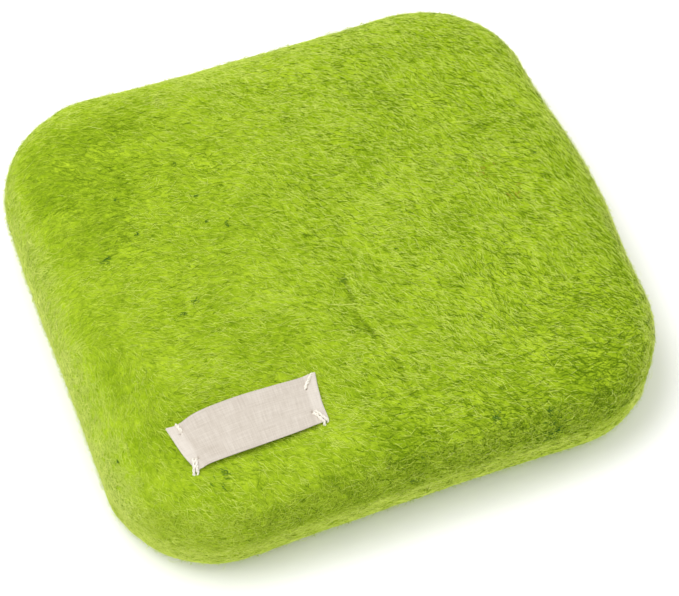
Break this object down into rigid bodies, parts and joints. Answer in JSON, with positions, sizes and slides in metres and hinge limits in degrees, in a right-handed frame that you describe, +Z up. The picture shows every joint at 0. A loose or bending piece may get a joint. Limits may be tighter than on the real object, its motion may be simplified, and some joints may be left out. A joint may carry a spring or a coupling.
{
  "type": "needle felting mat",
  "caption": "Soft rectangular work mat for needle felting: a firm foam slab wrapped in layers of felted wool, with rounded corners, a rolled lower edge and a plain sewn cloth label.",
  "frame": {"origin": "under the middle of the base, on the surface that the mat lies on", "axes": "+X across the mat to the right, +Y from the front edge with the label to the back edge, +Z up out of the working face"},
  "size_m": [0.207, 0.193, 0.0428],
  "materials": {
    "lime_wool": "felted wool fibres, matt, mottled lime green",
    "wrap_wool": "carded wool batt, matt, pale lime green",
    "foam": "open-cell foam, matt, cream",
    "cotton_tape": "plain-woven cotton tape, matt, unbleached",
    "thread": "thick twisted cotton thread, cream"
  },
  "bodies": {
    "root": {"foam_core": "foam", "inner_wool_wrap": "wrap_wool", "outer_wool_wrap": "wrap_wool", "base_felt": "lime_wool", "top_felt_left": "lime_wool", "top_felt_right": "lime_wool", "label_tape": "cotton_tape", "stitch_front_left": "thread", "stitch_front_right": "thread", "stitch_back_left": "thread", "stitch_back_right": "thread"}
  },
  "joints": []
}
